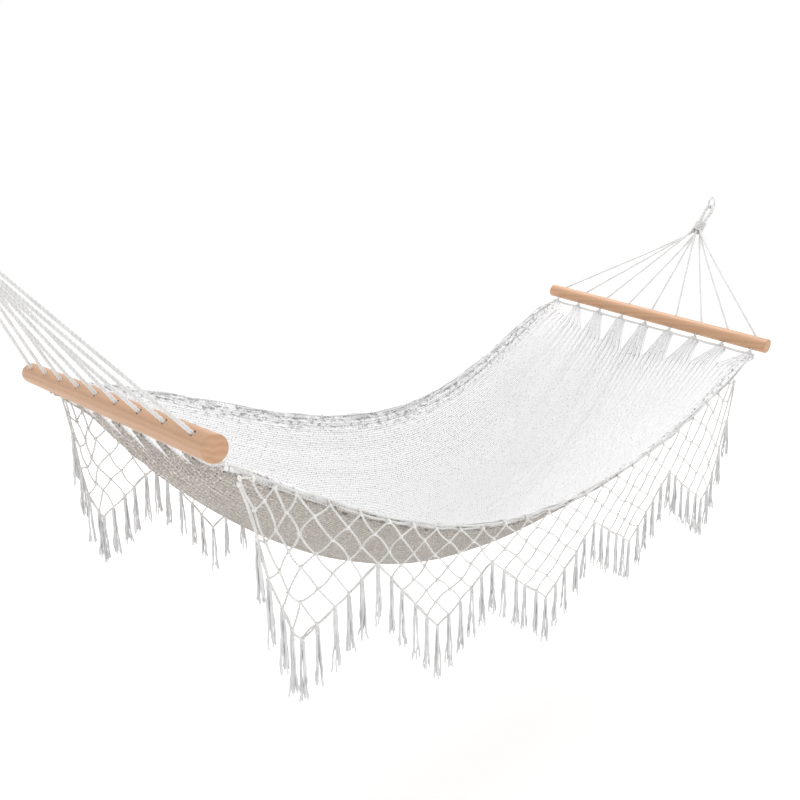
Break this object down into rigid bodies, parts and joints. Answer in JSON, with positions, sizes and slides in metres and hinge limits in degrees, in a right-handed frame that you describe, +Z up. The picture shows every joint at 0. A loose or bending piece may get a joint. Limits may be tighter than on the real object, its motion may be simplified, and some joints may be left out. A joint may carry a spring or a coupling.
{
  "type": "rope hammock",
  "caption": "Spreader-bar hammock with a knitted bed, round wooden bars, fanned clew cords gathered to steel hanging rings, and a knotted net fringe with tassels along both sides.",
  "frame": {"origin": "centre of the head ring, the ring the head end hangs from", "axes": "+X level from the head ring to the foot ring, +Z up, -Y the near side"},
  "size_m": [2.394, 0.8537, 1.063],
  "materials": {
    "ring_steel": "polished galvanised steel wire",
    "clew_cord": "twisted white cotton cord",
    "bar_wood": "plain smooth light wood",
    "bed_knit": "chunky knitted white cotton",
    "net_cord": "thin knotted white cotton cord",
    "tassel_yarn": "loose white cotton strands"
  },
  "bodies": {
    "hanging_rings": {"head_ring": "ring_steel", "foot_ring": "ring_steel"},
    "head_end": {"head_eye": "clew_cord", "head_whipping": "clew_cord", "head_bar": "bar_wood", "head_lacing": "clew_cord", "head_knots": "clew_cord", "head_cord_1": "clew_cord", "head_cord_2": "clew_cord", "head_cord_3": "clew_cord", "head_cord_4": "clew_cord", "head_cord_5": "clew_cord", "head_cord_6": "clew_cord", "head_cord_7": "clew_cord", "head_cord_8": "clew_cord", "head_cord_9": "clew_cord", "bed": "bed_knit", "near_net_1": "net_cord", "near_net_2": "net_cord", "near_net_3": "net_cord", "near_net_4": "net_cord", "near_net_5": "net_cord", "far_net_1": "net_cord", "far_net_2": "net_cord", "far_net_3": "net_cord", "far_net_4": "net_cord", "far_net_5": "net_cord", "near_tassels_1": "tassel_yarn", "near_tassels_2": "tassel_yarn", "near_tassels_3": "tassel_yarn", "near_tassels_4": "tassel_yarn", "near_tassels_5": "tassel_yarn", "far_tassels_1": "tassel_yarn", "far_tassels_2": "tassel_yarn", "far_tassels_3": "tassel_yarn", "far_tassels_4": "tassel_yarn", "far_tassels_5": "tassel_yarn"},
    "foot_end": {"foot_eye": "clew_cord", "foot_whipping": "clew_cord", "foot_bar": "bar_wood", "foot_lacing": "clew_cord", "foot_knots": "clew_cord", "foot_cord_1": "clew_cord", "foot_cord_2": "clew_cord", "foot_cord_3": "clew_cord", "foot_cord_4": "clew_cord", "foot_cord_5": "clew_cord", "foot_cord_6": "clew_cord", "foot_cord_7": "clew_cord", "foot_cord_8": "clew_cord", "foot_cord_9": "clew_cord"}
  },
  "joints": [
    {"name": "swing", "type": "hinge", "parent": "hanging_rings", "child": "head_end", "pos_m": [0.01102, 0, -0.01548], "axis": [1, 0, 0], "range_deg": [-25, 25]},
    {"name": "twist", "type": "hinge", "parent": "head_end", "child": "foot_end", "pos_m": [2.33898, 0, -0.01548], "axis": [1, 0, 0], "range_deg": [-12, 6], "deforming": ["bed", "near_net_1", "near_net_2", "near_net_3", "near_net_4", "near_net_5", "far_net_1", "far_net_2", "far_net_3", "far_net_4", "far_net_5", "near_tassels_1", "near_tassels_2", "near_tassels_3", "near_tassels_4", "near_tassels_5", "far_tassels_1", "far_tassels_2", "far_tassels_3", "far_tassels_4", "far_tassels_5"]}
  ]
}
